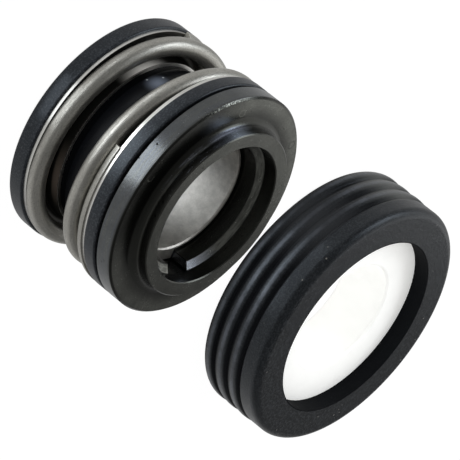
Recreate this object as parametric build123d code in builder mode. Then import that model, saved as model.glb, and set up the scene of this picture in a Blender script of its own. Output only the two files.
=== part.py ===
"""Component mechanical seal for a 16 mm shaft: a spring-loaded rubber bellows head
and the rubber-cupped ceramic seat that its carbon face runs against.

Both units stand on their ends on the plane z = 0. The head is on the Z axis, nose up,
and the seat lies beside it on its running face. Lengths are in millimetres.
"""

import os
from math import cos, radians, sin

from build123d import *

# ---- driving dimensions: shared -------------------------------------------------
shaft_r = 8.0  # radius of the shaft that the seal is made for
shaft_grip = 0.1  # how far the rubber tail is undersize on the shaft
shaft_gap = 0.3  # room between the shaft and the parts that slide over it
slip = 0.1  # gap between rubber and the pieces that travel with the face

# ---- driving dimensions: rubber bellows -----------------------------------------
neck_r = 12.2  # outside of the two necks that the angle rings sit on
tail_overhang = 0.2  # rear band beyond its angle ring
tail_flange_t = 2.4
tail_height = 5.0  # length that grips the shaft
head_overhang = 0.24  # front band beyond its angle ring
head_band_t = 2.05
neck_room = 0.4  # neck left bare beyond each angle ring's sleeve
fold_wall = 1.3  # thickness of the convolution
fold_rise = 0.5  # how far the convolution bulges beyond the necks
pocket_depth = 1.65  # front recess that the carbon ring sits in
pocket_wall = 1.74
rubber_edge = 0.3  # moulded edge radius

# ---- driving dimensions: angle rings and spring ---------------------------------
sheet_t = 0.45  # stainless strip of both angle rings
rear_ring_setback = 0.37  # how far each flange stops short of the coils' outside
front_ring_setback = 0.25
rear_sleeve_length = 2.45
front_sleeve_length = 2.5
bend_r = 0.2  # inner radius of the pressed bend
wire_d = 2.5
spring_room = 1.0  # between the angle rings' sleeves and the end coils
spring_length = 10.85  # between the two ground ends
rear_tip_angle = 191.0  # where the wire starts on the rear angle ring, about Z
spring_turn = 997.5  # degrees of wire from one tip to the other
tip_t = 1.2  # thickness left at each ground tip
tip_gap = 0.06  # left where a coil passes over the tip
seated_turn = 300.0  # degrees of each end coil that lie on its angle ring
rear_lead = 11.0  # rise per turn where the wire leaves the rear end coil
front_lead = 5.8
waist = 0.32  # how much slimmer the middle coil is than the end coils
lean = 0.28  # how far the middle coil leans over
lean_angle = 182.0

# ---- driving dimensions: carbon face ring ---------------------------------------
carbon_flange_t = 2.73
carbon_gap = 0.32  # open groove between rubber band and carbon flange
nose_r = 12.2
nose_height = 2.2
nose_bore_r = 10.2
nose_bore_depth = 2.0  # from the lapped face down to the sloping ledge
ledge_drop = 0.7  # fall of the ledge towards the bore
carbon_bore_r = 9.1
cove_r = 1.1  # concave fillet at the foot of the nose
flange_chamfer = 0.25
face_chamfer = 0.12
keyway_width = 3.8
keyway_angle = 28.0

# ---- driving dimensions: drive sleeve -------------------------------------------
sleeve_wall = 0.45
sleeve_length = 7.0
sleeve_entry = 1.9  # how far the sleeve enters the carbon ring
sleeve_chamfer = 0.2
lug_gap = 0.2  # room round the lug in the keyway

# ---- driving dimensions: seat ---------------------------------------------------
seat_distance = 71.4  # from the head's axis to the seat's, along +Y
cup_r = 20.1
cup_length = 10.9
lip_bore_r = 14.7
lip_t = 2.7
cup_wall = 2.6
cup_corner_r = 1.25
rib_count = 3
first_rib_length = 2.0  # the rib at the cup's open edge is cut short
rib_pitch = 2.65
rib_crest = 0.15  # rounded ribs beyond the plain band
groove_depth = 0.25  # grooves beside the ribs, below the plain band
groove_flank = 0.4  # length over which the last groove runs out to the band
face_stand = 0.3  # ceramic standing proud of the cup's open edge
ceramic_bore_r = 9.0
ceramic_chamfer = 0.3

# ---- radii of the head, from the shaft and the necks outwards -------------------
grip_r = shaft_r - shaft_grip
sleeve_r = shaft_r + shaft_gap
sleeve_outer_r = sleeve_r + sleeve_wall
front_inner_r = sleeve_outer_r + slip
front_ring_bore_r = neck_r + slip
wire_r = wire_d / 2
spring_mean_r = front_ring_bore_r + sheet_t + spring_room + wire_r
spring_outer_r = spring_mean_r + wire_r
rear_ring_r = spring_outer_r - rear_ring_setback
front_ring_r = spring_outer_r - front_ring_setback
tail_flange_r = rear_ring_r + tail_overhang
head_band_r = front_ring_r + head_overhang
pocket_r = head_band_r - pocket_wall
carbon_r = head_band_r

# ---- stations along the head's axis ---------------------------------------------
rear_seat_z = tail_flange_t + sheet_t
front_seat_z = rear_seat_z + spring_length
band_z = front_seat_z + sheet_t
band_top_z = band_z + head_band_t
pocket_z = band_top_z - pocket_depth
flange_z = band_top_z + carbon_gap
flange_top_z = flange_z + carbon_flange_t
face_z = flange_top_z + nose_height
ledge_z = face_z - nose_bore_depth
sleeve_top_z = pocket_z + sleeve_entry
sleeve_low_z = sleeve_top_z - sleeve_length
rear_neck_z = rear_seat_z + rear_sleeve_length + neck_room
front_neck_z = front_seat_z - front_sleeve_length - neck_room
fold_mid_z = (rear_neck_z + front_neck_z) / 2


# ---- rubber bellows: tail, convolution and front pocket in one moulding ---------
with BuildPart() as bellows:
    with BuildSketch(Plane.XZ) as bellows_section:
        with BuildLine():
            Polyline(
                (grip_r, tail_height),
                (grip_r, 0),
                (tail_flange_r, 0),
                (tail_flange_r, tail_flange_t),
                (neck_r, tail_flange_t),
                (neck_r, rear_neck_z),
            )
            ThreePointArc((neck_r, rear_neck_z), (neck_r + fold_rise, fold_mid_z), (neck_r, front_neck_z))
            Polyline(
                (neck_r, front_neck_z),
                (neck_r, band_z),
                (head_band_r, band_z),
                (head_band_r, band_top_z),
                (pocket_r, band_top_z),
                (pocket_r, pocket_z),
                (front_inner_r, pocket_z),
                (front_inner_r, front_neck_z + fold_wall),
                (neck_r - fold_wall, front_neck_z),
            )
            ThreePointArc(
                (neck_r - fold_wall, front_neck_z),
                (neck_r + fold_rise - fold_wall, fold_mid_z),
                (neck_r - fold_wall, rear_neck_z),
            )
            Line((neck_r - fold_wall, rear_neck_z), (grip_r, tail_height))
        make_face()
    revolve(axis=Axis.Z)
    rims = bellows.edges().filter_by(GeomType.CIRCLE).filter_by(lambda e: e.radius > pocket_r)
    fillet(rims.filter_by(lambda e: e.radius > pocket_r + slip), rubber_edge)
bellows.part.label = "bellows"


# ---- stainless angle rings: flange for the spring, sleeve round the neck --------
with BuildPart() as rear_angle_ring:
    with BuildSketch(Plane.XZ) as rear_ring_section:
        with BuildLine():
            Polyline(
                (neck_r, tail_flange_t),
                (rear_ring_r, tail_flange_t),
                (rear_ring_r, rear_seat_z),
                (neck_r + sheet_t, rear_seat_z),
                (neck_r + sheet_t, rear_seat_z + rear_sleeve_length),
                (neck_r, rear_seat_z + rear_sleeve_length),
                close=True,
            )
        make_face()
        corners = rear_ring_section.vertices()
        fillet(corners.sort_by_distance((neck_r + sheet_t, rear_seat_z, 0))[0], bend_r)
        corners = rear_ring_section.vertices()
        fillet(corners.sort_by_distance((neck_r, tail_flange_t, 0))[0], bend_r + sheet_t)
    revolve(axis=Axis.Z)
rear_angle_ring.part.label = "rear_angle_ring"

with BuildPart() as front_angle_ring:
    with BuildSketch(Plane.XZ) as front_ring_section:
        with BuildLine():
            Polyline(
                (front_ring_bore_r, band_z),
                (front_ring_r, band_z),
                (front_ring_r, front_seat_z),
                (front_ring_bore_r + sheet_t, front_seat_z),
                (front_ring_bore_r + sheet_t, front_seat_z - front_sleeve_length),
                (front_ring_bore_r, front_seat_z - front_sleeve_length),
                close=True,
            )
        make_face()
        corners = front_ring_section.vertices()
        fillet(corners.sort_by_distance((front_ring_bore_r + sheet_t, front_seat_z, 0))[0], bend_r)
        corners = front_ring_section.vertices()
        fillet(corners.sort_by_distance((front_ring_bore_r, band_z, 0))[0], bend_r + sheet_t)
    revolve(axis=Axis.Z)
front_angle_ring.part.label = "front_angle_ring"


# ---- coil spring: left-hand wire with closed ends, ground flat ------------------
coil_step = 15.0  # degrees between the points of the wire's centre line
seated_rise = (wire_d - tip_t) / seated_turn  # per degree, while the wire lies on its ring
crossing_rise = tip_t / (360 - seated_turn)  # per degree, while it climbs over its own tip
leaving_rise = (seated_rise + crossing_rise) / 2

wire_stations = (  # degrees from the rear tip, height of the wire's centre, rise per degree
    (0, rear_seat_z + tip_t - wire_r, seated_rise),
    (seated_turn, rear_seat_z + wire_r, leaving_rise),
    (360, rear_seat_z + tip_t + tip_gap + wire_r, rear_lead / 360),
    (spring_turn - 360, front_seat_z - tip_t - tip_gap - wire_r, front_lead / 360),
    (spring_turn - seated_turn, front_seat_z - wire_r, leaving_rise),
    (spring_turn, front_seat_z - tip_t + wire_r, seated_rise),
)


def wire_height(turned):
    """Height of the wire's centre after so many degrees, on cubics between the stations."""
    for (start, low, low_rise), (end, high, high_rise) in zip(wire_stations, wire_stations[1:]):
        if turned <= end:
            break
    span = end - start
    along = (turned - start) / span
    smooth = along * along * (3 - 2 * along)
    slack = along * (1 - along) * span
    bow = low_rise * (1 - along) - high_rise * along
    return low + (high - low) * smooth + slack * bow


def wire_point(turned):
    """Centre of the wire after so many degrees from the rear tip."""
    bell = sin(radians(180 * turned / spring_turn)) ** 2
    angle = radians(rear_tip_angle - turned)
    reach = spring_mean_r - waist * bell
    return (
        reach * cos(angle) + lean * bell * cos(radians(lean_angle)),
        reach * sin(angle) + lean * bell * sin(radians(lean_angle)),
        wire_height(turned),
    )


coil_points = [wire_point(step * coil_step) for step in range(int(spring_turn / coil_step))]
coil_points.append(wire_point(spring_turn))

with BuildPart() as spring:
    with BuildLine() as coil_line:
        Spline(*coil_points)
    with BuildSketch(Plane(coil_line.line @ 0, z_dir=coil_line.line % 0)):
        Circle(wire_r)
    sweep(path=coil_line.line, is_frenet=True)
    with BuildSketch(Plane.XY.offset(rear_seat_z)):
        Circle(spring_outer_r + wire_d)
    extrude(amount=-2 * wire_d, mode=Mode.SUBTRACT)
    with BuildSketch(Plane.XY.offset(front_seat_z)):
        Circle(spring_outer_r + wire_d)
    extrude(amount=2 * wire_d, mode=Mode.SUBTRACT)
spring.part.label = "spring"


# ---- carbon face ring: flange, cove, lapped nose, stepped bore and keyway -------
with BuildPart() as carbon_ring:
    with BuildSketch(Plane.XZ):
        with BuildLine():
            Polyline(
                (sleeve_outer_r, pocket_z),
                (pocket_r - slip, pocket_z),
                (pocket_r - slip, flange_z),
                (carbon_r, flange_z),
                (carbon_r, flange_top_z),
                (nose_r, flange_top_z),
                (nose_r, face_z),
                (nose_bore_r, face_z),
                (nose_bore_r, ledge_z),
                (carbon_bore_r, ledge_z - ledge_drop),
                (carbon_bore_r, sleeve_top_z),
                (sleeve_outer_r, sleeve_top_z),
                close=True,
            )
        make_face()
    revolve(axis=Axis.Z)
    rims = carbon_ring.edges().filter_by(GeomType.CIRCLE)
    fillet(rims.filter_by_position(Axis.Z, flange_top_z, flange_top_z).sort_by(SortBy.RADIUS)[0], cove_r)
    rims = carbon_ring.edges().filter_by(GeomType.CIRCLE)
    chamfer(rims.filter_by(lambda e: e.radius > carbon_r - slip), flange_chamfer)
    chamfer(rims.filter_by_position(Axis.Z, face_z, face_z), face_chamfer)
    with BuildSketch(Plane.XY.offset(ledge_z).rotated((0, 0, keyway_angle))):
        with Locations(((sleeve_r + nose_bore_r) / 2, 0)):
            Rectangle(nose_bore_r - sleeve_r, keyway_width)
    extrude(amount=pocket_z - ledge_z, mode=Mode.SUBTRACT)
carbon_ring.part.label = "carbon_ring"


# ---- drive sleeve: stainless liner whose bent lug stands in the carbon's keyway --
with BuildPart() as drive_sleeve:
    with BuildSketch(Plane.XY.offset(sleeve_low_z)):
        Circle(sleeve_outer_r)
        Circle(sleeve_r, mode=Mode.SUBTRACT)
    extrude(amount=sleeve_length)
    inner = drive_sleeve.edges().filter_by(GeomType.CIRCLE).filter_by(lambda e: e.radius < sleeve_r + slip)
    chamfer(inner, sleeve_chamfer)
    with BuildSketch(Plane.XY.offset(sleeve_top_z)):
        with Locations(Location((0, 0), keyway_angle)):
            Rectangle(nose_bore_r - lug_gap, keyway_width - 2 * lug_gap, align=(Align.MIN, Align.CENTER))
        Circle(sleeve_outer_r - sleeve_chamfer, mode=Mode.SUBTRACT)
    extrude(amount=-sleeve_wall)
drive_sleeve.part.label = "drive_sleeve"


# ---- seat: ceramic ring in a ribbed rubber cup, running face down ---------------
ceramic_r = cup_r - cup_wall
ceramic_length = face_stand + cup_length - lip_t
cup_top_z = face_stand + cup_length
groove_r = cup_r - groove_depth
groove_stations = [face_stand + first_rib_length + rib * rib_pitch for rib in range(rib_count)]
rib_ends = [face_stand] + groove_stations
seat_section = Plane.XZ.offset(-seat_distance)
seat_axis = Axis((0, seat_distance, 0), (0, 0, 1))

with BuildPart() as seat_cup:
    with BuildSketch(seat_section):
        with BuildLine():
            Polyline(
                (groove_r, rib_ends[-1]),
                (cup_r, rib_ends[-1] + groove_flank),
                (cup_r, cup_top_z),
                (lip_bore_r, cup_top_z),
                (lip_bore_r, ceramic_length),
                (ceramic_r, ceramic_length),
                (ceramic_r, face_stand),
                (groove_r, face_stand),
            )
            for low, high in zip(rib_ends, rib_ends[1:]):
                ThreePointArc((groove_r, low), (cup_r + rib_crest, (low + high) / 2), (groove_r, high))
        make_face()
    revolve(axis=seat_axis)
    rims = seat_cup.edges().filter_by(GeomType.CIRCLE)
    fillet(rims.filter_by_position(Axis.Z, cup_top_z, cup_top_z).sort_by(SortBy.RADIUS)[-1], cup_corner_r)
seat_cup.part.label = "seat_cup"

with BuildPart() as seat_ring:
    with BuildSketch(Plane.XY):
        with Locations((0, seat_distance)):
            Circle(ceramic_r)
            Circle(ceramic_bore_r, mode=Mode.SUBTRACT)
    extrude(amount=ceramic_length)
    chamfer(seat_ring.edges().filter_by(GeomType.CIRCLE), ceramic_chamfer)
seat_ring.part.label = "seat_ring"


os.makedirs("parts", exist_ok=True)
head = (bellows, rear_angle_ring, spring, front_angle_ring, drive_sleeve, carbon_ring)
for piece in head + (seat_cup, seat_ring):
    export_step(piece.part, f"parts/{piece.part.label}.step")
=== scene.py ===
import math

import bmesh
import bpy
from bpy.props import FloatProperty, FloatVectorProperty, IntProperty, PointerProperty
from mathutils import Matrix, Vector


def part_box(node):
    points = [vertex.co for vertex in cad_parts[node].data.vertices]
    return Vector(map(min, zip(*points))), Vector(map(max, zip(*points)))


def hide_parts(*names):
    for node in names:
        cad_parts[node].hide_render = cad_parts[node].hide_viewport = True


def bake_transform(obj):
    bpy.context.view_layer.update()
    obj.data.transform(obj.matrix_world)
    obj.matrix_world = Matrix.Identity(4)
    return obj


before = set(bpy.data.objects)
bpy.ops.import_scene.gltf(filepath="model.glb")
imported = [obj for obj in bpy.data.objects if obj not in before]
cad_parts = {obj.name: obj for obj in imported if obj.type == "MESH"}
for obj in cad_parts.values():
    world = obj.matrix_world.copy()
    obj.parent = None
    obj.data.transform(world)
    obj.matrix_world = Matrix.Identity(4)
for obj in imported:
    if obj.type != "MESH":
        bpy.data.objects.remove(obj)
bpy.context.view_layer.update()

bl_info = {
    "name": "Mechanical Seal",
    "version": (1, 0, 0),
    "blender": (4, 5, 0),
    "location": "View3D > Sidebar > Seal",
    "description": "Dresses a spring-loaded shaft seal and its ceramic seat",
    "category": "Object",
}

MM = 0.001


# ---- places ----------------------------------------------------------------------
def radius_of(node):
    """Outer radius of a round node, from its box."""
    low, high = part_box(node)
    return (high.x - low.x) / 2


def centre_of(node):
    """Point on the node's axis, at the height of its lowest point."""
    low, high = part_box(node)
    return Vector(((low.x + high.x) / 2, (low.y + high.y) / 2, low.z))


# in metres, for the shapes
REAR_RING_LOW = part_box("rear_angle_ring")[0].z
FRONT_RING_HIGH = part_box("front_angle_ring")[1].z
SPRING_LOW, SPRING_HIGH = (corner.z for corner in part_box("spring"))
BAND_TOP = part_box("bellows")[1].z
SEAT_CENTRE = centre_of("seat_cup")

# in millimetres, for the finishes
SPRING_MIDDLE = (SPRING_LOW + SPRING_HIGH) / 2 / MM
RING_RIM = radius_of("rear_angle_ring") / MM
CARBON_RADIUS = radius_of("carbon_ring") / MM
FACE_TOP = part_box("carbon_ring")[1].z / MM
FLANGE_TOP = FACE_TOP - 2.2
LEDGE_TOP = FACE_TOP - 2.0
NOSE_RADIUS = 12.2
NOSE_BORE = 10.2
CUP_RADIUS = radius_of("seat_cup") / MM
CUP_HEIGHT = (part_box("seat_cup")[1].z - SEAT_CENTRE.z) / MM
LIP_RADIUS = 14.7  # hole in the cup's back
RIBS_END = 7.7  # above the cup's open edge


# ---- sizes and colours that a user would change ----------------------------------
def length(name, description, default):
    """A length property, its default in millimetres."""
    return FloatProperty(
        name=name, description=description, default=default * MM, unit="LENGTH", precision=5
    )


def colour(name, description, default):
    """A linear colour property."""
    return FloatVectorProperty(
        name=name, description=description, default=default, subtype="COLOR", size=3, min=0, max=1
    )


def angle(name, description, default):
    """An angle property, its default in degrees."""
    return FloatProperty(
        name=name, description=description, default=math.radians(default), subtype="ANGLE"
    )


def strength(name, description, default):
    """A brightness, where 1 is plain white."""
    return FloatProperty(name=name, description=description, default=default, min=0)


def share(name, description, default):
    """A plain share from 0 to 1."""
    return FloatProperty(
        name=name, description=description, default=default, min=0, max=1, subtype="FACTOR"
    )


class SealBellowsSettings(bpy.types.PropertyGroup):
    """Sizes and colour of the rubber bellows."""

    grip_radius: length("Grip radius", "Inside of the tail that grips the shaft", 7.9)
    tail_height: length("Tail height", "Length of the tail's grip", 5.0)
    neck_radius: length("Neck radius", "Outside of the two necks", 12.2)
    rear_neck_end: length("Rear neck end", "Height where the fold starts", 5.7)
    front_neck_start: length("Front neck start", "Height where the fold ends", 10.8)
    fold_wall: length("Fold wall", "Thickness of the fold", 1.3)
    fold_rise: length("Fold rise", "How far the fold bulges", 0.5)
    front_inner_radius: length("Front inner radius", "Inside of the front neck", 8.85)
    band_radius: length("Front band radius", "Outside of the band behind the carbon ring", 16.24)
    pocket_radius: length("Pocket radius", "Inside of the recess for the carbon ring", 14.5)
    pocket_depth: length("Pocket depth", "Depth of the recess for the carbon ring", 1.65)
    edge_radius: length("Edge radius", "Moulded edges", 0.3)
    rubber: colour("Rubber", "Colour of the moulded rubber", (0.0040, 0.0045, 0.0060))


class SealSpringSettings(bpy.types.PropertyGroup):
    """Sizes and colour of the coil spring."""

    wire_diameter: length("Wire diameter", "Thickness of the wire", 2.5)
    mean_radius: length("Mean radius", "Radius of the end coils' centre line", 15.0)
    waist: length("Waist", "How much slimmer the middle coil is", 0.32)
    lean: length("Lean", "How far the middle coil leans over", 0.28)
    lean_angle: angle("Lean angle", "Where the middle coil leans", 182.0)
    tip_angle: angle("Rear tip angle", "Where the wire starts", 191.0)
    turn: angle("Turn", "Angle of wire from tip to tip", 997.5)
    seated_turn: angle("Seated turn", "Part of each end coil that lies on its ring", 300.0)
    tip_thickness: length("Tip thickness", "Wire left at each ground tip", 1.2)
    tip_gap: length("Tip gap", "Left where a coil passes over the tip", 0.06)
    rear_lead: length("Rear lead", "Rise per turn where the rear end coil ends", 11.0)
    front_lead: length("Front lead", "Rise per turn where the front end coil starts", 5.8)
    steps: IntProperty(name="Steps", description="Rings along the wire", default=520, min=60)
    sides: IntProperty(name="Sides", description="Sides of the wire", default=40, min=8)
    wire: colour("Wire", "Colour of the drawn wire", (0.48, 0.47, 0.43))


class SealMetalSettings(bpy.types.PropertyGroup):
    """Colours of the sheet metal pieces."""

    strip: colour("Strip", "Colour of the angle rings", (0.82, 0.81, 0.77))
    half_gap: length(
        "Half gap", "From the middle of the spring to the rim of an angle ring's sleeve", 2.95
    )
    sleeve: colour("Sleeve", "Colour of the drive sleeve", (0.55, 0.53, 0.49))


class SealFaceSettings(bpy.types.PropertyGroup):
    """Colours of the carbon and ceramic running faces."""

    carbon: colour("Carbon", "Reflectance of the carbon ring", (0.137, 0.140, 0.126))
    alumina: colour("Alumina", "Colour of the ceramic ring", (0.93, 0.93, 0.91))


class SealCupSettings(bpy.types.PropertyGroup):
    """Colour of the seat's rubber cup."""

    rubber: colour("Cup rubber", "Colour of the cup", (0.0040, 0.0043, 0.0052))


class SealStageSettings(bpy.types.PropertyGroup):
    """Camera, floor and lights."""

    aim: FloatVectorProperty(
        name="Aim", description="Point on the floor that the camera looks at",
        default=(0.42 * MM, 43.8 * MM, 0), subtype="XYZ", unit="LENGTH", size=3
    )
    distance: length("Distance", "From the aim to the camera", 503.2)
    elevation: angle("Elevation", "Height of the camera's line", 28.868)
    roll: angle("Roll", "Turn about the camera's line", 128.706)
    lens: FloatProperty(name="Lens", description="Focal length", default=281.74, unit="CAMERA")
    floor: colour("Floor", "Colour of the floor", (0.92, 0.92, 0.92))
    floor_glow: share("Floor glow", "Share of plain white that the camera sees", 0.93)
    sky: strength("Sky", "Light of the sky on matt surfaces", 0.8)
    sheen: strength("Sheen", "Brightness of the floor in shiny surfaces", 0.55)
    back_sheen: strength("Back sheen", "Brightness of the sky behind in shiny surfaces", 0.2)
    front_sheen: strength("Front sheen", "Brightness of the sky in front in shiny surfaces", 0.2)
    strip: strength("Strips", "Brightness of the strips on the floor", 3.0)
    side: strength("Side lamp", "Brightness of the lamp at the side", 3.2)
    panel: strength("Back panel", "Brightness of the near panel behind", 0.54)


# ---- nodes -----------------------------------------------------------------------
class Field:
    """A number in a node tree that Python's arithmetic can work on."""

    def __init__(self, nodes, socket):
        self.nodes = nodes
        self.socket = socket

    def __add__(self, other):
        return self.nodes.math("ADD", self, other)

    def __sub__(self, other):
        return self.nodes.math("SUBTRACT", self, other)

    def __rsub__(self, other):
        return self.nodes.math("SUBTRACT", other, self)

    def __mul__(self, other):
        return self.nodes.math("MULTIPLY", self, other)

    def __truediv__(self, other):
        return self.nodes.math("DIVIDE", self, other)

    def __neg__(self):
        return self.nodes.math("MULTIPLY", self, -1)

    def __abs__(self):
        return self.nodes.math("ABSOLUTE", self)

    __radd__ = __add__
    __rmul__ = __mul__


class Nodes:
    """A node tree, and the one way in which nodes are added to it."""

    def __init__(self, tree):
        self.tree = tree

    def node(self, kind, settings=None, inputs=None):
        """Adds a node, sets its settings, then gives its sockets values or links."""
        made = self.tree.nodes.new(kind)
        for key, value in (settings or {}).items():
            setattr(made, key, value)
        for key, value in (inputs or {}).items():
            self.feed(made.inputs[key], value)
        return made

    def feed(self, socket, value):
        """Links a field or a socket, or sets a plain value."""
        if isinstance(value, Field):
            self.link(value.socket, socket)
        elif isinstance(value, bpy.types.NodeSocket):
            self.link(value, socket)
        elif socket.type == "RGBA":
            socket.default_value = (*value[:3], 1)
        else:
            socket.default_value = value

    def link(self, source, target):
        """Joins an output to an input."""
        self.tree.links.new(source, target)

    def field(self, made, output=0):
        """An output of a node, as a number to calculate with."""
        return Field(self, made.outputs[output])

    def math(self, operation, first, second=None):
        """One step of arithmetic on fields, sockets and plain numbers."""
        made = self.node("ShaderNodeMath", {"operation": operation}, {0: first})
        if second is not None:
            self.feed(made.inputs[1], second)
        return self.field(made)

    def rise(self, value, low, high):
        """Goes smoothly from 0 at low to 1 at high."""
        made = self.node(
            "ShaderNodeMapRange",
            {"interpolation_type": "SMOOTHSTEP", "clamp": True},
            {"Value": value, "From Min": low, "From Max": high, "To Min": 0, "To Max": 1},
        )
        return self.field(made)

    def mixed(self, factor, first, second):
        """Two shaders mixed by the share of the second."""
        made = self.node("ShaderNodeMixShader", inputs={0: factor, 1: first, 2: second})
        return made.outputs[0]


class Finish(Nodes):
    """One procedural material. Its lengths are in millimetres, on Object coordinates."""

    def __init__(self, name, **constants):
        self.material = bpy.data.materials.new(name)
        self.material.use_nodes = True
        super().__init__(self.material.node_tree)
        self.tree.nodes.clear()
        self.output = self.node("ShaderNodeOutputMaterial")
        self.shader = self.node("ShaderNodeBsdfPrincipled", inputs=constants)
        self.link(self.shader.outputs[0], self.output.inputs["Surface"])

    def place(self, centre=(0, 0, 0)):
        """Object coordinates in millimetres about a centre given in metres."""
        coordinates = self.node("ShaderNodeTexCoord").outputs["Object"]
        location = tuple(-c / MM for c in centre)
        shifted = self.node(
            "ShaderNodeMapping",
            {"vector_type": "POINT"},
            {"Vector": coordinates, "Location": location, "Scale": (1 / MM,) * 3},
        )
        return shifted.outputs[0]

    def parts(self, vector):
        """The three numbers of a vector."""
        made = self.node("ShaderNodeSeparateXYZ", inputs={0: vector})
        return tuple(self.field(made, i) for i in range(3))

    def vector(self, x, y, z):
        """A vector from three numbers."""
        return self.node("ShaderNodeCombineXYZ", inputs={0: x, 1: y, 2: z}).outputs[0]

    def hypot(self, x, y):
        """Distance from the Z axis."""
        return self.math("SQRT", x * x + y * y)

    def azimuth(self, x, y):
        """Angle about the Z axis, in radians from +X."""
        return self.math("ARCTAN2", y, x)

    def away(self, place, centre):
        """Distance from a point."""
        made = self.node(
            "ShaderNodeVectorMath", {"operation": "DISTANCE"}, {0: place, 1: centre}
        )
        return self.field(made, "Value")

    def noise(self, vector, scale, detail=3, rough=0.55):
        """Soft noise from 0 to 1, with scale in cells per millimetre."""
        made = self.node(
            "ShaderNodeTexNoise",
            inputs={"Vector": vector, "Scale": scale, "Detail": detail, "Roughness": rough},
        )
        return self.field(made, "Fac")

    def band(self, value, middle, half):
        """1 at the middle of a band, falling to 0 at its edges."""
        return 1 - self.rise(abs(value - middle), 0, half)

    def spot(self, place, centre, size):
        """1 within a small round spot, falling to 0 at its rim."""
        return 1 - self.rise(self.away(place, centre), size * 0.5, size)

    def specks(self, place, scale, size, patch_scale, patch_range):
        """Scattered specks, only in the patches where a coarse noise is high."""
        cells = self.node(
            "ShaderNodeTexVoronoi", {"feature": "F1"},
            {"Vector": place, "Scale": scale, "Randomness": 1},
        )
        near = 1 - self.rise(self.field(cells, "Distance"), 0.05, size)
        return near * self.rise(self.noise(place, patch_scale, 2), *patch_range)

    def blend(self, first, second, factor):
        """Mixes two colours by a field."""
        made = self.node("ShaderNodeMix", {"data_type": "RGBA", "clamp_factor": True})
        self.feed(made.inputs[0], factor)
        self.feed(made.inputs[6], first)
        self.feed(made.inputs[7], second)
        return made.outputs[2]

    def layers(self, shade, *coats):
        """Lays coats over a colour in turn, each a colour and the field that shows it."""
        for coat, factor in coats:
            shade = self.blend(shade, coat, factor)
        return shade

    def bump(self, height, distance):
        """Bump whose height is a field and whose distance is in millimetres."""
        made = self.node(
            "ShaderNodeBump", inputs={"Height": height, "Distance": distance * MM, "Strength": 1.0}
        )
        self.feed(self.shader.inputs["Normal"], made.outputs[0])

    def dull(self, matt_colour, cover):
        """Gives a share of the surface a plain matt look."""
        matt = self.node(
            "ShaderNodeBsdfPrincipled",
            inputs={"Base Color": matt_colour, "Roughness": 1.0, "IOR": 1.0},
        )
        mixed = self.mixed(cover, self.shader.outputs[0], matt.outputs[0])
        self.link(mixed, self.output.inputs["Surface"])

    def paint(self, **channels):
        """Feeds the shader's own sockets, named with spaces as underscores."""
        for key, value in channels.items():
            self.feed(self.shader.inputs[key.replace("_", " ")], value)
        return self.material


def tint(base, factor):
    """A colour made lighter or darker by a plain factor."""
    return tuple(min(c * factor, 1) for c in base)


# ---- meshes ----------------------------------------------------------------------
TURNED_DIVISIONS = 288
SMOOTH_ANGLE = math.radians(35)  # edges sharper than this stay sharp on turned pieces
WIRE_SMOOTH_ANGLE = math.radians(40)
WELD_DISTANCE = 1e-7


def rounded_outline(corners, steps=7):
    """Points of a closed outline whose corners are (radius, height, rounding)."""
    points = []
    count = len(corners)
    for i, (r, z, rounding) in enumerate(corners):
        here = Vector((r, z))
        if not rounding:
            points.append(here)
            continue
        back = Vector(corners[i - 1][:2]) - here
        ahead = Vector(corners[(i + 1) % count][:2]) - here
        half_angle = back.angle(ahead) / 2
        reach = rounding / math.tan(half_angle)
        start = here + back.normalized() * reach
        end = here + ahead.normalized() * reach
        inward = (back.normalized() + ahead.normalized()).normalized()
        centre = here + inward * rounding / math.sin(half_angle)
        for step in range(steps + 1):
            along = start.lerp(end, step / steps) - centre
            points.append(centre + along.normalized() * rounding)
    return points


def turned_piece(name, outline, divisions):
    """Closed piece made by turning a closed outline about Z."""
    shape = bmesh.new()
    rings = []
    for step in range(divisions):
        turned = 2 * math.pi * step / divisions
        cos, sin = math.cos(turned), math.sin(turned)
        rings.append([shape.verts.new((p.x * cos, p.x * sin, p.y)) for p in outline])
    for first, second in zip(rings, rings[1:] + rings[:1]):
        for i in range(len(outline)):
            j = (i + 1) % len(outline)
            shape.faces.new((first[i], second[i], second[j], first[j]))
    return finished_piece(name, shape)


def finished_piece(name, shape):
    """Object of a closed mesh, with outward normals and smooth shading."""
    bmesh.ops.recalc_face_normals(shape, faces=shape.faces)
    mesh = bpy.data.meshes.new(name)
    shape.to_mesh(mesh)
    shape.free()
    mesh.shade_smooth()
    mesh.set_sharp_from_angle(angle=SMOOTH_ANGLE)
    piece = bpy.data.objects.new(name, mesh)
    bpy.context.scene.collection.objects.link(piece)
    return piece


def set_material(piece, material):
    """Makes a material the only one of a piece."""
    piece.data.materials.clear()
    piece.data.materials.append(material)


# ---- rubber ----------------------------------------------------------------------
RUBBER_TINT = (0.80, 0.90, 1.0)  # of the gloss
BAND_DUST = (0.070, 0.076, 0.084)
FOLD_GRAIN = (0.42, 0.44, 0.46)
FOLD_GRAINS = (  # place and size, in millimetres
    ((-7.87, -9.84, 6.70), 0.22),
    ((-9.24, -8.56, 7.68), 0.20),
    ((-8.00, -9.73, 8.02), 0.12),
)
# painted highlight on the fold: its colour, and its place and size in millimetres
FOLD_HIGHLIGHT_COLOUR = (0.13, 0.15, 0.19)
FOLD_HIGHLIGHT_PLACE = (-8.3, -9.5, 8.2)
FOLD_HIGHLIGHT_SIZE = 2.2
NECK_EDGE = (12.36, 12.46)  # radii over which the necks' painted shade, dark and matt, passes into the fold


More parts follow.
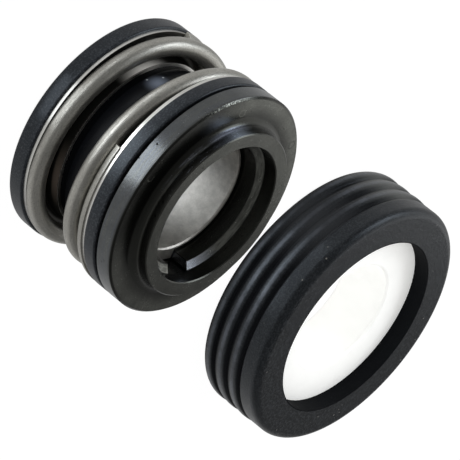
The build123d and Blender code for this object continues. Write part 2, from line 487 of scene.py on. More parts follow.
def band_finish(base):
    """Rubber of the two bands: blue-black satin with pale moulding dust."""
    finish = Finish("bellows_rubber", **{"IOR": 1.5, "Specular Tint": RUBBER_TINT})
    place = finish.place()
    grain = finish.noise(place, 4.5, 4, 0.65)
    cloud = finish.noise(place, 0.5, 4, 0.6)
    dust = finish.specks(place, 1.1, 0.13, 0.45, (0.52, 0.62))
    shade = finish.layers(
        finish.blend(tint(base, 0.6), tint(base, 1.7), cloud),
        (BAND_DUST, finish.rise(grain, 0.50, 0.62) * 0.4 + dust * 0.9),
    )
    finish.bump(grain + cloud + dust, 0.02)
    return finish.paint(Base_Color=shade, Roughness=0.24 + 0.12 * cloud + 0.10 * grain)


def fold_finish(base):
    """Rubber of the fold: near black and smooth, with pale grains, a painted bluish highlight and
    necks in painted shade.
    """
    finish = Finish("bellows_fold", IOR=1.22)
    place = finish.place()
    x, y, _ = finish.parts(place)
    grain = finish.noise(place, 3, 3, 0.6)
    # painted highlight: a soft bluish patch laid into the fold's colour
    fold_highlight = 1 - finish.rise(finish.away(place, FOLD_HIGHLIGHT_PLACE), 0, FOLD_HIGHLIGHT_SIZE)
    shade = finish.layers(
        finish.blend(tint(base, 0.5), base, grain),
        *((FOLD_GRAIN, finish.spot(place, centre, size)) for centre, size in FOLD_GRAINS),
        (FOLD_HIGHLIGHT_COLOUR, fold_highlight),
    )
    # painted shade: the necks, deep between the coils, are made dark and matt
    neck = 1 - finish.rise(finish.hypot(x, y), *NECK_EDGE)
    finish.dull(tint(base, 0.3), neck * 0.85)
    finish.bump(grain, 0.01)
    return finish.paint(Base_Color=shade, Roughness=0.30 + 0.12 * grain)


def build_bellows(s):
    """Rubber bellows: tail with its band, fold, and front band with the pocket."""
    half = s.fold_wall / 2
    inside = s.neck_radius - s.fold_wall
    edge = s.edge_radius
    tail_radius = radius_of("bellows")
    corners = [
        (s.grip_radius, 0, edge),
        (tail_radius, 0, edge),
        (tail_radius, REAR_RING_LOW, edge),
        (s.neck_radius, REAR_RING_LOW, 0),
        (s.neck_radius, s.rear_neck_end, 0),
    ]
    corners += fold_points(s.neck_radius, s.fold_rise, s.rear_neck_end, s.front_neck_start)
    corners += [
        (s.neck_radius, s.front_neck_start, 0),
        (s.neck_radius, FRONT_RING_HIGH, 0),
        (s.band_radius, FRONT_RING_HIGH, edge),
        (s.band_radius, BAND_TOP, edge),
        (s.pocket_radius, BAND_TOP, edge / 2),
        (s.pocket_radius, BAND_TOP - s.pocket_depth, 0),
        (s.front_inner_radius, BAND_TOP - s.pocket_depth, 0),
        (s.front_inner_radius, s.front_neck_start + s.fold_wall, half),
        (inside, s.front_neck_start, 0),
    ]
    corners += reversed(fold_points(inside, s.fold_rise, s.rear_neck_end, s.front_neck_start))
    corners += [(inside, s.rear_neck_end, 0), (s.grip_radius, s.tail_height, half)]
    return turned_piece("rubber_bellows", rounded_outline(corners), TURNED_DIVISIONS)


def fold_points(radius, rise, low, high, steps=16):
    """Points along a fold between two heights, bulging by rise."""
    points = []
    for step in range(1, steps):
        along = step / steps
        points.append((radius + rise * math.sin(math.pi * along), low + (high - low) * along, 0))
    return points


class SEAL_OT_bellows(bpy.types.Operator):
    """Moulds the rubber bellows"""

    bl_idname = "seal.bellows"
    bl_label = "Bellows"

    def execute(self, context):
        settings = context.scene.seal_bellows
        piece = build_bellows(settings)
        set_material(piece, band_finish(settings.rubber))
        piece.data.materials.append(fold_finish(settings.rubber))
        for face in piece.data.polygons:
            in_fold = REAR_RING_LOW < face.center.z < FRONT_RING_HIGH
            outside = face.center.xy.length > settings.grip_radius
            face.material_index = int(in_fold and outside)
        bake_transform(piece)
        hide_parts("bellows")
        return {"FINISHED"}


# ---- spring ----------------------------------------------------------------------
class ShapeNodes(Nodes):
    """A Geometry Nodes tree with named inputs."""

    def __init__(self, name):
        super().__init__(bpy.data.node_groups.new(name, "GeometryNodeTree"))
        for way in ("INPUT", "OUTPUT"):
            self.tree.interface.new_socket("Geometry", in_out=way, socket_type="NodeSocketGeometry")
        self.inlet = self.node("NodeGroupInput")
        self.outlet = self.node("NodeGroupOutput")
        self.given = {}

    def ask(self, name, kind, value):
        """Adds a named input, where None stands for the material, and returns its socket."""
        item = self.tree.interface.new_socket(name, in_out="INPUT", socket_type=kind)
        self.given[item.identifier] = value
        return self.inlet.outputs[name]

    def mesh(self, name, line, material):
        """Runs the tree on a line of points and returns its result as a plain object."""
        data = bpy.data.meshes.new(name)
        data.from_pydata(line, [(i, i + 1) for i in range(len(line) - 1)], [])
        carrier = bpy.data.objects.new(name, data)
        bpy.context.scene.collection.objects.link(carrier)
        modifier = carrier.modifiers.new("shape", "NODES")
        modifier.node_group = self.tree
        for identifier, value in self.given.items():
            modifier[identifier] = material if value is None else value
        carrier.update_tag()
        bpy.context.view_layer.update()
        graph = bpy.context.evaluated_depsgraph_get()
        result = bpy.data.meshes.new_from_object(carrier.evaluated_get(graph))
        carrier.modifiers.clear()
        carrier.data = result
        return carrier


def wire_line(s):
    """Centre line of the wire: a left-hand coil whose end turns lie on the angle rings."""
    wire = s.wire_diameter / 2
    seated = (s.wire_diameter - s.tip_thickness) / s.seated_turn
    crossing = s.tip_thickness / (2 * math.pi - s.seated_turn)
    leaving = (seated + crossing) / 2
    lead = s.rear_lead / (2 * math.pi), s.front_lead / (2 * math.pi)
    over_tip = s.tip_thickness + s.tip_gap + wire
    stations = (
        (0, SPRING_LOW + s.tip_thickness - wire, seated),
        (s.seated_turn, SPRING_LOW + wire, leaving),
        (2 * math.pi, SPRING_LOW + over_tip, lead[0]),
        (s.turn - 2 * math.pi, SPRING_HIGH - over_tip, lead[1]),
        (s.turn - s.seated_turn, SPRING_HIGH - wire, leaving),
        (s.turn, SPRING_HIGH - s.tip_thickness + wire, seated),
    )
    points = []
    for step in range(s.steps + 1):
        turned = s.turn * step / s.steps
        bell = math.sin(math.pi * turned / s.turn) ** 2
        reach = s.mean_radius - s.waist * bell
        points.append((
            reach * math.cos(s.tip_angle - turned) + s.lean * bell * math.cos(s.lean_angle),
            reach * math.sin(s.tip_angle - turned) + s.lean * bell * math.sin(s.lean_angle),
            height_between(stations, turned),
        ))
    return points


def height_between(stations, turned):
    """Height on the cubics that join stations of turn, height and rise."""
    for (start, low, low_rise), (end, high, high_rise) in zip(stations, stations[1:]):
        if turned <= end:
            break
    span = end - start
    along = (turned - start) / span
    smooth = along * along * (3 - 2 * along)
    bow = low_rise * (1 - along) - high_rise * along
    return low + (high - low) * smooth + along * (1 - along) * span * bow


def wire_tree(s):
    """Round wire swept along a line, with its own coordinates kept for the finish."""
    tree = ShapeNodes("coil_wire")
    wire = tree.ask("Wire diameter", "NodeSocketFloat", s.wire_diameter)
    sides = tree.ask("Sides", "NodeSocketInt", s.sides)
    material = tree.ask("Material", "NodeSocketMaterial", None)
    coil = tree.node("GeometryNodeMeshToCurve", {}, {"Mesh": tree.inlet.outputs["Geometry"]})
    upright = tree.node("GeometryNodeSetCurveNormal", {"mode": "Z_UP"}, {"Curve": coil.outputs[0]})
    marked = tree.node(
        "GeometryNodeStoreNamedAttribute", {"data_type": "FLOAT", "domain": "POINT"},
        {"Geometry": upright.outputs[0], "Name": "wire_along",
         "Value": tree.node("GeometryNodeSplineParameter").outputs["Length"]},
    )
    ring = tree.node(
        "GeometryNodeCurvePrimitiveCircle", {"mode": "RADIUS"},
        {"Resolution": sides, "Radius": tree.math("MULTIPLY", wire, 0.5)},
    )
    around = tree.node(
        "GeometryNodeStoreNamedAttribute", {"data_type": "FLOAT_VECTOR", "domain": "POINT"},
        {"Geometry": ring.outputs[0], "Name": "wire_around"},
    )
    where = tree.node("GeometryNodeInputPosition").outputs[0]
    tree.link(where, next(i for i in around.inputs if i.name == "Value" and i.enabled))
    swept = tree.node(
        "GeometryNodeCurveToMesh", {},
        {"Curve": marked.outputs[0], "Profile Curve": around.outputs[0], "Fill Caps": True},
    )
    real = tree.node("GeometryNodeRealizeInstances", {}, {"Geometry": swept.outputs[0]})
    painted = tree.node(
        "GeometryNodeSetMaterial", {}, {"Geometry": real.outputs[0], "Material": material}
    )
    tree.link(painted.outputs[0], tree.outlet.inputs[0])
    return tree


def grind_flat(piece, height, upwards):
    """Cuts a closed mesh off flat at a height and closes the cut."""
    shape = bmesh.new()
    shape.from_mesh(piece.data)
    bmesh.ops.remove_doubles(shape, verts=shape.verts, dist=WELD_DISTANCE)
    cut = bmesh.ops.bisect_plane(
        shape,
        geom=shape.verts[:] + shape.edges[:] + shape.faces[:],
        plane_co=(0, 0, height),
        plane_no=(0, 0, 1 if upwards else -1),
        clear_outer=True,
    )
    rim = [e for e in cut["geom_cut"] if isinstance(e, bmesh.types.BMEdge)]
    bmesh.ops.edgenet_fill(shape, edges=rim)
    bmesh.ops.recalc_face_normals(shape, faces=shape.faces)
    shape.to_mesh(piece.data)
    shape.free()


def wire_finish(base, wire_length):
    """Drawn wire: long fine lines, short dark rubs, soft clouds and pale sawn ends."""
    finish = Finish("spring_wire", Metallic=1.0)
    carried = finish.node("ShaderNodeAttribute", {"attribute_name": "wire_along"})
    along = finish.field(carried, "Fac") / MM
    around = finish.node("ShaderNodeAttribute", {"attribute_name": "wire_around"})
    side, rise, _ = (part / MM for part in finish.parts(around.outputs["Vector"]))
    drawn = finish.noise(finish.vector(along * 0.12, side, rise), 4, 4, 0.7)
    grain = finish.noise(finish.vector(along, side, rise), 5, 3, 0.7)
    rubs = finish.noise(finish.vector(along * 0.35, side, rise), 2.4, 3, 0.6)
    cloud = finish.noise(finish.vector(along * 0.3, side, rise), 0.6, 3, 0.5)
    last = wire_length / MM
    ends = 1 - finish.rise(along, 0.02, 0.10) + finish.rise(along, last - 0.10, last - 0.02)
    shade = finish.layers(
        finish.blend(tint(base, 0.86), tint(base, 1.12), finish.rise(cloud, 0.25, 0.75)),
        (tint(base, 0.70), finish.rise(rubs, 0.54, 0.74) * 0.5),
        (tint(base, 0.62), finish.rise(grain, 0.48, 0.64) * 0.6),
        (tint(base, 1.4), finish.rise(drawn, 0.54, 0.68) * 0.6),
        (tint(base, 1.9), ends * 0.9),
    )
    finish.bump(drawn + grain * 0.8 + cloud, 0.02)
    roughness = 0.30 + 0.12 * drawn + 0.08 * grain + 0.3 * ends
    return finish.paint(Base_Color=shade, Roughness=roughness)


class SEAL_OT_spring(bpy.types.Operator):
    """Winds the coil spring and grinds its ends flat"""

    bl_idname = "seal.spring"
    bl_label = "Spring"

    def execute(self, context):
        settings = context.scene.seal_spring
        line = wire_line(settings)
        wire_length = sum((Vector(b) - Vector(a)).length for a, b in zip(line, line[1:]))
        finish = wire_finish(settings.wire, wire_length)
        piece = wire_tree(settings).mesh("coil_spring", line, finish)
        if not piece.data.vertices:
            raise RuntimeError("the coil spring came out empty")
        grind_flat(piece, SPRING_LOW, upwards=False)
        grind_flat(piece, SPRING_HIGH, upwards=True)
        piece.data.shade_smooth()
        piece.data.set_sharp_from_angle(angle=WIRE_SMOOTH_ANGLE)
        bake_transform(piece)
        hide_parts("spring")
        return {"FINISHED"}


# ---- sheet metal -----------------------------------------------------------------
# edges of the angle rings' finish, in millimetres, as the ranges that they fade over
SLEEVE_BEND = (12.95, 13.4)  # radii where a sleeve turns into its flange
REAR_SLEEVE_START = (3.9, 4.3)
REAR_SLEEVE_END = (8, 9)
MOUTH_EDGE = (12.6, 12.66)  # radii on the rear sleeve's end face
REAR_MOUTH = 5.3  # height of that face

# patches of the rear sleeve, a painted highlight and brownish painted shade: middle and half width
# of the angle about Z, in radians
SLEEVE_HIGHLIGHT_PATCH = (-2.34, 0.36)
HIGHLIGHT_MOUTH = (-2.2, 0.46)
BROWN_SHADE_PATCH = (-0.8, 0.5)
BROWN_SHADE_MOUTH = (-0.45, 0.5)

# colours of the painted shade on the sleeves, of its painted highlight and of its brownish part
SLEEVE_SHADE_COLOUR = (0.006, 0.006, 0.005)
SLEEVE_HIGHLIGHT_COLOUR = (0.95, 0.92, 0.86)
BROWN_SHADE_COLOUR = (0.085, 0.068, 0.055)


def strip_finish(base, half_gap):
    """Pressed strip: fine turned lines; painted shade inside the rims and on the sleeve walls and
    mouth, partly brownish, and painted highlights on the sleeve rims and one patch of the rear
    sleeve.
    """
    finish = Finish("stainless_strip", Metallic=1.0)
    place = finish.place()
    x, y, z = finish.parts(place)
    radius = finish.hypot(x, y)
    azimuth = finish.azimuth(x, y)
    lines = finish.noise(finish.vector(radius * 8, z * 8, azimuth * 0.8), 1, 4, 0.7)
    cloud = finish.noise(place, 0.5, 3, 0.5)
    off_middle = abs(z - SPRING_MIDDLE)
    rim = half_gap / MM + 0.1
    # painted shade: the sleeve walls between spring and rubber are covered dark and matt
    wall = finish.rise(off_middle, rim, rim + 0.15) * (1 - finish.rise(radius, *SLEEVE_BEND))
    upper = finish.rise(z, *REAR_SLEEVE_START) * (1 - finish.rise(z, *REAR_SLEEVE_END))
    # painted highlight: a bright matt patch on the rear sleeve's wall
    sleeve_highlight = finish.band(azimuth, *SLEEVE_HIGHLIGHT_PATCH) * upper
    # brownish part of the painted shade on the rear sleeve's wall
    brown_shade = finish.band(azimuth, *BROWN_SHADE_PATCH) * upper
    # painted shade: a dark matt line along the inner edge of the rear sleeve's end face, beside its
    # patches
    mouth = finish.band(z, REAR_MOUTH, 0.06) * (1 - finish.rise(radius, *MOUTH_EDGE))
    mouth = mouth * finish.math(
        "MAXIMUM", finish.band(azimuth, *HIGHLIGHT_MOUTH), finish.band(azimuth, *BROWN_SHADE_MOUTH)
    )
    shade = finish.layers(
        finish.blend(tint(base, 0.82), tint(base, 1.1), cloud),
        # painted shade: each ring inside its outer rim, under the coils, is darkened
        (tint(base, 0.15), 1 - finish.rise(radius, RING_RIM - 0.09, RING_RIM - 0.01)),
        # painted highlight: the sleeves' end faces are lightened into a bright rim line
        (tint(base, 1.2), finish.rise(-off_middle, -rim, -rim + 0.05)),
    )
    # colour of the painted shade on the sleeve walls and mouth
    painted_sleeve_shade = finish.layers(
        SLEEVE_SHADE_COLOUR,
        (SLEEVE_HIGHLIGHT_COLOUR, sleeve_highlight * (1 - mouth)),
        (BROWN_SHADE_COLOUR, brown_shade * (1 - mouth)),
    )
    finish.dull(painted_sleeve_shade, finish.math("MAXIMUM", wall * 0.9, mouth * 0.85))
    finish.bump(lines, 0.006)
    roughness = 0.24 + 0.14 * lines + 0.06 * cloud + 0.2 * wall
    return finish.paint(Base_Color=shade, Roughness=roughness)


def sleeve_finish(base):
    """Tumbled steel: mottled and finely scratched."""
    finish = Finish("sleeve_steel", Metallic=1.0)
    place = finish.place()
    x, y, z = finish.parts(place)
    mottle = finish.noise(place, 1.0, 5, 0.68)
    grain = finish.noise(place, 6, 3, 0.6)
    scratch = finish.noise(finish.vector(x * 5 + z * 3, y * 5, z * 0.6), 1.2, 2, 0.5)
    shade = finish.layers(
        finish.blend(tint(base, 0.80), tint(base, 1.12), finish.rise(mottle, 0.25, 0.75)),
        (tint(base, 0.80), finish.rise(grain, 0.5, 0.7) * 0.5),
        (tint(base, 1.3), finish.rise(scratch, 0.66, 0.74) * 0.4),
    )
    finish.bump(grain + mottle * 2, 0.01)
    return finish.paint(Base_Color=shade, Roughness=0.34 + 0.14 * mottle + 0.08 * grain)


class SEAL_OT_sheet_metal(bpy.types.Operator):
    """Gives the angle rings and the drive sleeve their steel"""

    bl_idname = "seal.sheet_metal"
    bl_label = "Sheet metal"

    def execute(self, context):
        settings = context.scene.seal_metal
        strip = strip_finish(settings.strip, settings.half_gap)
        for node in ("rear_angle_ring", "front_angle_ring"):
            set_material(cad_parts[node], strip)
        set_material(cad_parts["drive_sleeve"], sleeve_finish(settings.sleeve))
        return {"FINISHED"}


# ---- running faces ---------------------------------------------------------------
CARBON_PITS = (  # place and size, in millimetres
    ((0.5, -16.2, 16.8), 0.16),
    ((2.9, -11.9, 20.85), 0.2),
    ((4.87, -11.2, 20.82), 0.2),
    ((-6.75, -6.9, 21.45), 0.15),
)
FLANGE_MARKS = (  # place and radius of a ring mark, in millimetres, its shade, and if it is cut
    ((-13.0, 7.5), 0.55, 0.3, False),
    ((-11.9, -7.4), 0.50, 1.3, False),
    ((1.5, -15.1), 0.50, 2.4, True),
)
MARK_HALF_WIDTH = 0.13
KEPT_SIDE = (0.53, 0.85)  # direction of the part of a cut mark that is left

# patches of the carbon, real chips and painted highlights: middle and half width of the angle about
# Z, in radians
CHIPPED = (-2.30, 0.42)
NOSE_STREAKED_HIGHLIGHT = (-1.95, 0.6)
NOSE_HIGHLIGHT = (-2.41, 0.36)
LEDGE_HIGHLIGHT = (0.78, 0.5)

# colours of the painted highlights on the nose wall and the ledge, and the wiped tone of the
# flange's side
STREAK_HIGHLIGHT_COLOUR = (0.40, 0.43, 0.50)
NOSE_HIGHLIGHT_COLOUR = (0.34, 0.38, 0.48)
LEDGE_HIGHLIGHT_COLOUR = (0.45, 0.48, 0.54)
WIPED_SHADE = (0.105, 0.115, 0.135)
# painted light: strength of the ceramic's glow in its own colour
CERAMIC_PAINTED_GLOW = 0.24


def flange_mark(finish, place, mark):
    """How far one faint ring mark shows on the flange."""
    (mark_x, mark_y), size, _, is_cut = mark
    ring = finish.band(finish.away(place, (mark_x, mark_y, FLANGE_TOP)), size, MARK_HALF_WIDTH)
    if is_cut:
        x, y, _ = finish.parts(place)
        inwards = (x - mark_x) * KEPT_SIDE[0] + (y - mark_y) * KEPT_SIDE[1]
        ring = ring * finish.rise(inwards, -0.15, 0.1)
    return ring * 0.9


def carbon_finish(base):
    """Carbon graphite: dark half-metal with pores, a chipped flange edge and ring marks; painted
    shade in the cove, the bore, the front of the flange top, the nose face's edge and the flange's
    chamfer; the ledge painted lighter, and painted highlights on the ledge and nose wall.
    """
    finish = Finish("carbon", Metallic=1.0)
    place = finish.place()
    x, y, z = finish.parts(place)
    radius = finish.hypot(x, y)
    azimuth = finish.azimuth(x, y)
    grain = finish.noise(place, 4.5, 4, 0.65)
    cloud = finish.noise(place, 0.45, 4, 0.6)
    drag = finish.noise(finish.vector(azimuth * 5, z * 3, radius * 3), 1.0, 4, 0.65)
    pores = finish.specks(place, 0.75, 0.14, 0.4, (0.56, 0.62))

    below_face = 1 - finish.rise(z, FACE_TOP - 0.16, FACE_TOP - 0.1)
    # painted shade in the cove between the flange top and the nose
    cove = (1 - finish.rise(radius, CARBON_RADIUS - 3.0, CARBON_RADIUS - 0.9)) * below_face
    # painted shade: the flange top on the -y side, next to the nose, where it mirrors the dark nose
    # wall
    shaded_flange_front = finish.rise(-y, 7, 13) * finish.rise(z, FLANGE_TOP - 0.15, FLANGE_TOP - 0.05)
    shaded_flange_front = shaded_flange_front * finish.rise(radius, NOSE_RADIUS, NOSE_RADIUS + 0.4)
    # painted shade: the nose bore below the face is darkened
    bore = (1 - finish.rise(radius, NOSE_BORE + 0.15, NOSE_BORE + 0.2)) * below_face
    # painted shade: the nose face's edge is darkened against the strip lamp's highlight
    rim = finish.band(z, FACE_TOP - 0.06, 0.1)
    # painted light: the ledge in the bore is painted lighter, as lit, with a mottle
    ledge = finish.rise(radius, NOSE_BORE - 1.05, NOSE_BORE - 0.95)
    ledge = ledge - finish.rise(radius, NOSE_BORE - 0.12, NOSE_BORE - 0.04)
    ledge = ledge * (1 - finish.rise(z, LEDGE_TOP, LEDGE_TOP + 0.1))
    # painted highlights: streaky and soft bluish light on the nose wall at two angles
    nose = finish.band(radius, NOSE_RADIUS + 0.05, 0.3) * below_face
    streaked_highlight = nose * finish.band(azimuth, *NOSE_STREAKED_HIGHLIGHT)
    glow = nose * finish.band(azimuth, *NOSE_HIGHLIGHT)
    side = finish.rise(radius, CARBON_RADIUS - 0.06, CARBON_RADIUS - 0.02)
    wiped = finish.noise(finish.vector(azimuth * 1.5, z * 6, 0), 1.0, 3, 0.6)
    # painted shade: the flange's chamfer is darkened against the side lamp's highlight; the bright
    # chips along part of it are real
    edge = finish.band(radius, CARBON_RADIUS - 0.15, 0.3)
    edge = edge * finish.rise(z, FLANGE_TOP - 0.6, FLANGE_TOP - 0.3)
    chips = finish.rise(finish.noise(place, 4.5, 3, 0.7), 0.51, 0.56)
    chips = chips * finish.band(azimuth, *CHIPPED)

    shade = finish.layers(
        finish.blend(tint(base, 0.80), tint(base, 1.20), finish.rise(cloud, 0.25, 0.75)),
        (tint(base, 1.6), finish.rise(grain, 0.50, 0.64) * 0.3),
        (tint(base, 0.6), (1 - finish.rise(grain, 0.36, 0.46)) * 0.5),
        (tint(base, 1.35), finish.rise(drag, 0.56, 0.75) * 0.5),
        (tint(base, 0.28), cove * 0.9),
        (tint(base, 0.18), shaded_flange_front * 0.85),
        (tint(base, 0.16), bore * (0.9 - 0.25 * finish.rise(grain, 0.45, 0.6))),
        (tint(base, 0.3), rim * 0.9),
        (tint(base, 1.45), ledge * (0.45 + 0.6 * finish.rise(drag, 0.4, 0.6))),
        # painted highlight: a bluish glint on part of the ledge
        (LEDGE_HIGHLIGHT_COLOUR, ledge * finish.band(azimuth, *LEDGE_HIGHLIGHT) * 0.9),
        (STREAK_HIGHLIGHT_COLOUR, streaked_highlight * finish.rise(drag, 0.50, 0.70) * 0.6),
        (NOSE_HIGHLIGHT_COLOUR, glow * 0.9),
        *((tint(base, mark[2]), flange_mark(finish, place, mark)) for mark in FLANGE_MARKS),
        (WIPED_SHADE, side * (0.35 + 0.4 * finish.rise(wiped, 0.4, 0.65))),
        (tint(base, 0.22), edge),
        (tint(base, 1.7), edge * chips),
        (tint(base, 0.08), pores),
        *((tint(base, 0.05), finish.spot(place, centre, size)) for centre, size in CARBON_PITS),
    )
    finish.bump(grain * 0.7 + cloud + drag * 0.5 - pores * 2, 0.011)
    roughness = 0.17 + 0.08 * grain + 0.05 * cloud + 0.04 * drag
    return finish.paint(Base_Color=shade, Roughness=roughness)


def alumina_finish(base):
    """White ceramic with faint clouding, which glows in its own colour as painted light."""
    finish = Finish("alumina", **{"Emission Strength": CERAMIC_PAINTED_GLOW})
    place = finish.place(SEAT_CENTRE)
    grain = finish.noise(place, 5, 3, 0.6)
    shade = finish.layers(
        finish.blend(tint(base, 0.97), base, grain),
        (tint(base, 0.95), finish.rise(finish.noise(place, 0.6, 3), 0.45, 0.7)),
    )
    finish.bump(grain, 0.002)
    return finish.paint(Base_Color=shade, Emission_Color=shade, Roughness=0.3 + 0.1 * grain)


class SEAL_OT_faces(bpy.types.Operator):
    """Finishes the carbon ring and the ceramic ring"""

    bl_idname = "seal.faces"
    bl_label = "Running faces"

    def execute(self, context):
        settings = context.scene.seal_faces
        set_material(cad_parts["carbon_ring"], carbon_finish(settings.carbon))
        set_material(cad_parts["seat_ring"], alumina_finish(settings.alumina))
        return {"FINISHED"}


# ---- seat cup --------------------------------------------------------------------
# patches of the ribs, a flat matt one and one of painted sheen: middle and half width of the angle
# about the cup's axis, in radians
MATT_PATCH_ANGLE = (-2.02, 0.5)
RIB_SHEEN_PATCH = (-2.79, 0.45)

# colours of the cup's grain, drag and dust, of the painted highlight on the crests, of the painted
# sheen and of the matt patch
CUP_GRAIN = (0.075, 0.080, 0.085)
CUP_DRAG = (0.030, 0.033, 0.038)
CUP_DUST = (0.20, 0.19, 0.17)
CREST_HIGHLIGHT_COLOUR = (0.085, 0.092, 0.108)
RIB_SHEEN_COLOUR = (0.095, 0.096, 0.088)
MATT_PATCH_COLOUR = (0.026, 0.027, 0.029)


def cup_finish(base):
    """Rubber of the cup: blue-black, finely mottled and dusted, with painted highlights on the rib
    crests, painted sheen on the ribs at one side, painted shade in the grooves and lip, and a flat
    matt patch.
    """
    finish = Finish("cup_rubber", **{"IOR": 1.45, "Specular Tint": RUBBER_TINT})
    place = finish.place(SEAT_CENTRE)
    x, y, z = finish.parts(place)
    radius = finish.hypot(x, y)
    azimuth = finish.azimuth(x, y)
    grain = finish.noise(place, 4.5, 4, 0.65)
    mottle = finish.noise(place, 2.3, 5, 0.7)
    cloud = finish.noise(place, 0.4, 4, 0.6)
    drag = finish.noise(finish.vector(x * 0.5, y * 0.5, z * 3), 1.6, 4, 0.65)
    dust = finish.specks(place, 0.8, 0.13, 0.35, (0.53, 0.62))

    back = finish.rise(z, CUP_HEIGHT - 0.1, CUP_HEIGHT - 0.05)
    lip = 1 - finish.rise(radius, LIP_RADIUS + 0.05, LIP_RADIUS + 0.2)
    on_ribs = 1 - finish.rise(z, RIBS_END, RIBS_END + 0.3)
    # painted highlight: the rib crests are painted lighter, more where the cloud is high
    crest = finish.rise(radius, CUP_RADIUS - 0.045, CUP_RADIUS - 0.005) * on_ribs
    crest_highlight_share = 0.25 + 0.5 * finish.rise(cloud, 0.35, 0.65)
    outside = finish.rise(radius, CUP_RADIUS - 1.2, CUP_RADIUS - 1.0)
    groove = outside * (1 - finish.rise(radius, CUP_RADIUS - 0.2, CUP_RADIUS - 0.01))
    groove = groove * (1 - finish.rise(z, RIBS_END - 0.3, RIBS_END))
    # a patch of the ribs at one angle, made matt and a flat dark grey
    matt_patch = outside * on_ribs * finish.band(azimuth, *MATT_PATCH_ANGLE)
    # painted sheen: the ribs at one angle, where light grazes them, are painted paler and less dark
    # in the grooves
    pale = outside * on_ribs * finish.band(azimuth, *RIB_SHEEN_PATCH)

    shade = finish.layers(
        finish.blend(tint(base, 0.35), tint(base, 1.15), cloud),
        (tint(base, 0.3), back * 0.6),
        (CUP_GRAIN, finish.rise(grain, 0.47, 0.60) * (0.20 - 0.12 * back)),
        (CUP_GRAIN, back * finish.rise(mottle, 0.48, 0.62) * 0.28),
        (CUP_DRAG, finish.rise(drag, 0.52, 0.75) * 0.3),
        (CUP_DUST, dust * 0.8),
        (CREST_HIGHLIGHT_COLOUR, crest * crest_highlight_share),
        (RIB_SHEEN_COLOUR, pale * 0.55),
    )
    cup_matt_colour = finish.blend(tint(base, 0.8), MATT_PATCH_COLOUR, matt_patch)
    # painted shade: the grooves and the lip's wall are made dark and matt
    cover = finish.math("MAXIMUM", lip * 0.9, groove * (0.85 - 0.8 * pale))
    finish.dull(cup_matt_colour, finish.math("MAXIMUM", cover, matt_patch * 0.75))
    finish.bump(grain * 1.4 + drag + cloud + mottle * 0.8, 0.022)
    roughness = (0.20 + 0.12 * cloud + 0.10 * grain) * (1 - 0.3 * back)
    return finish.paint(Base_Color=shade, Roughness=roughness)


class SEAL_OT_seat_cup(bpy.types.Operator):
    """Finishes the ribbed rubber cup"""

    bl_idname = "seal.seat_cup"
    bl_label = "Seat cup"

    def execute(self, context):
        set_material(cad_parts["seat_cup"], cup_finish(context.scene.seal_cup.rubber))
        return {"FINISHED"}


# ---- stage -----------------------------------------------------------------------
SENSOR_WIDTH = 36
CLIP_RANGE = (0.01, 10)
WATTS_PER_RADIANCE = 4  # that an area lamp needs on each square metre
FLOOR_HALF = 3.0
FLOOR_WHITE = 1.04
UP = (0, 0, 1)
WHITE = (1, 1, 1)
SKY_FRONT = (0, -0.7, 0.7)
SKY_RANGE = (0.1, 0.8)  # of the cosine from the front, where the sky goes from back to front

COOL = (0.90, 0.95, 1.0)
STRIP_HEIGHT = 0.2
STRIPS = (  # name, place and size on the floor in millimetres, share of the strips' brightness
    ("tail_strip", (1.5, -19.5), (8, 5), 0.3),
    ("head_strip", (2, -40), (24, 21), 1.02),
    ("fold_patch", (-16.5, -23.5), (8, 6), 0.7),
    ("seat_strip", (-1, 44.5), (24, 4), 1.2),
    ("bore_strip", (0, 0), (10, 10), 1.25),
)
MIDDLE = (0, 30 * MM, 8 * MM)  # of the head and the seat together
SIDE_DIRECTION = (-0.82, 0.165, 0.548)
SIDE_DISTANCE = 0.45
PANEL_PLACE = (-0.104, 0.195, 0.125)
LAMP_SIZE = (0.2, 0.2)


def add_camera(s):
    """Camera at a distance from its aim, turned about its own line."""
    data = bpy.data.cameras.new("camera")
    data.lens = s.lens
    data.sensor_width = SENSOR_WIDTH
    data.clip_start, data.clip_end = CLIP_RANGE
    camera = bpy.data.objects.new("camera", data)
    turn = Matrix.Rotation(math.pi / 2 - s.elevation, 4, "X") @ Matrix.Rotation(s.roll, 4, "Z")
    camera.matrix_world = Matrix.Translation(s.aim) @ turn @ Matrix.Translation((0, 0, s.distance))
    bpy.context.scene.collection.objects.link(camera)
    bpy.context.scene.camera = camera


def add_lamp(name, centre, facing, size, radiance, tone=WHITE):
    """Rectangular area lamp of an even brightness, hidden from the camera."""
    data = bpy.data.lights.new(name, "AREA")
    data.shape = "RECTANGLE"
    data.size, data.size_y = size
    data.energy = WATTS_PER_RADIANCE * data.size * data.size_y * radiance
    data.color = tone
    lamp = bpy.data.objects.new(name, data)
    lamp.location = centre
    lamp.rotation_euler = (-Vector(facing)).to_track_quat("Z", "Y").to_euler()
    lamp.visible_camera = False
    bpy.context.scene.collection.objects.link(lamp)


def floor_finish(base, glow, sheen):
    """Pale floor that keeps its shadow: plain white to the camera and dim to shiny surfaces."""
    finish = Finish("floor", Roughness=0.9)
    finish.paint(Base_Color=base)
    rays = finish.node("ShaderNodeLightPath").outputs
    direct = finish.math("MAXIMUM", rays["Is Camera Ray"], rays["Is Transmission Ray"])

    def plain(brightness):
        lamp = finish.node("ShaderNodeEmission", inputs={"Color": WHITE, "Strength": brightness})
        return lamp.outputs[0]

    lower = finish.mixed(rays["Is Glossy Ray"], finish.shader.outputs[0], plain(sheen))
    upper = finish.mixed(direct * glow, lower, plain(FLOOR_WHITE))
    finish.link(upper, finish.output.inputs["Surface"])
    return finish.material


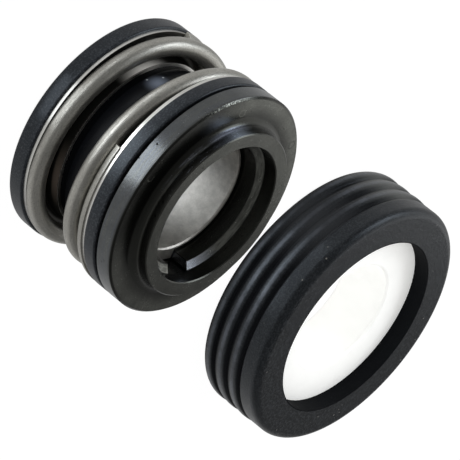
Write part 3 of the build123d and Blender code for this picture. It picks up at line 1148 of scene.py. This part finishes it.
def add_sky(s):
    """Even sky: plain white to the camera, and dimmer to shiny surfaces, behind and in front."""
    world = bpy.data.worlds.new("world")
    world.use_nodes = True
    nodes = Nodes(world.node_tree)
    nodes.tree.nodes.clear()

    def plain(brightness):
        made = nodes.node("ShaderNodeBackground", inputs={"Color": WHITE, "Strength": brightness})
        return made.outputs[0]

    rays = nodes.node("ShaderNodeLightPath").outputs
    direction = nodes.node("ShaderNodeTexCoord").outputs["Generated"]
    cosine = nodes.node(
        "ShaderNodeVectorMath", {"operation": "DOT_PRODUCT"},
        {0: direction, 1: Vector(SKY_FRONT).normalized()},
    )
    front = nodes.rise(cosine.outputs["Value"], *SKY_RANGE)
    glossy = nodes.mixed(front, plain(s.back_sheen), plain(s.front_sheen))
    sky = nodes.mixed(rays["Is Glossy Ray"], plain(s.sky), glossy)
    sky = nodes.mixed(rays["Is Camera Ray"], sky, plain(1.0))
    nodes.node("ShaderNodeOutputWorld", inputs={"Surface": sky})
    bpy.context.scene.world = world


def add_floor(s):
    """Wide square floor, at the height that the object stands on."""
    shape = bmesh.new()
    corners = ((-1, -1), (1, -1), (1, 1), (-1, 1))
    shape.faces.new([shape.verts.new((x * FLOOR_HALF, y * FLOOR_HALF, 0)) for x, y in corners])
    floor = finished_piece("floor", shape)
    set_material(floor, floor_finish(s.floor, s.floor_glow, s.sheen))


def add_lamps(s):
    """Strips on the floor, a lamp at the side and a panel behind."""
    for name, (x, y), size, brightness in STRIPS:
        place = (x * MM, y * MM, STRIP_HEIGHT * MM)
        add_lamp(name, place, UP, [side * MM for side in size], s.strip * brightness, COOL)
    middle = Vector(MIDDLE)
    side = Vector(SIDE_DIRECTION)
    add_lamp("side_lamp", middle + side * SIDE_DISTANCE, -side, LAMP_SIZE, s.side, COOL)
    panel = Vector(PANEL_PLACE)
    add_lamp("back_panel", panel, middle - panel, LAMP_SIZE, s.panel)


class SEAL_OT_stage(bpy.types.Operator):
    """Sets up the floor, the lamps and the camera"""

    bl_idname = "seal.stage"
    bl_label = "Stage"

    def execute(self, context):
        settings = context.scene.seal_stage
        context.scene.view_settings.view_transform = "Standard"
        add_camera(settings)
        add_floor(settings)
        add_lamps(settings)
        add_sky(settings)
        return {"FINISHED"}


# ---- add-on ----------------------------------------------------------------------
STEPS = (
    SEAL_OT_bellows,
    SEAL_OT_spring,
    SEAL_OT_sheet_metal,
    SEAL_OT_faces,
    SEAL_OT_seat_cup,
    SEAL_OT_stage,
)

SETTINGS = {
    "seal_bellows": SealBellowsSettings,
    "seal_spring": SealSpringSettings,
    "seal_metal": SealMetalSettings,
    "seal_faces": SealFaceSettings,
    "seal_cup": SealCupSettings,
    "seal_stage": SealStageSettings,
}


class SEAL_PT_panel(bpy.types.Panel):
    """Lists the pieces of the seal and their sizes"""

    bl_idname = "SEAL_PT_panel"
    bl_label = "Mechanical Seal"
    bl_space_type = "VIEW_3D"
    bl_region_type = "UI"
    bl_category = "Seal"

    def draw(self, context):
        for step in STEPS:
            self.layout.operator(step.bl_idname)
        for name, group in SETTINGS.items():
            box = self.layout.box()
            for key in group.__annotations__:
                box.prop(getattr(context.scene, name), key)


def register():
    for group in (*SETTINGS.values(), *STEPS, SEAL_PT_panel):
        bpy.utils.register_class(group)
    for name, group in SETTINGS.items():
        setattr(bpy.types.Scene, name, PointerProperty(type=group))


def unregister():
    for name in SETTINGS:
        delattr(bpy.types.Scene, name)
    for group in (SEAL_PT_panel, *reversed(STEPS), *reversed(SETTINGS.values())):
        bpy.utils.unregister_class(group)


def main():
    register()
    bpy.ops.seal.bellows()
    bpy.ops.seal.spring()
    bpy.ops.seal.sheet_metal()
    bpy.ops.seal.faces()
    bpy.ops.seal.seat_cup()
    bpy.ops.seal.stage()


if __name__ == "__main__":
    main()
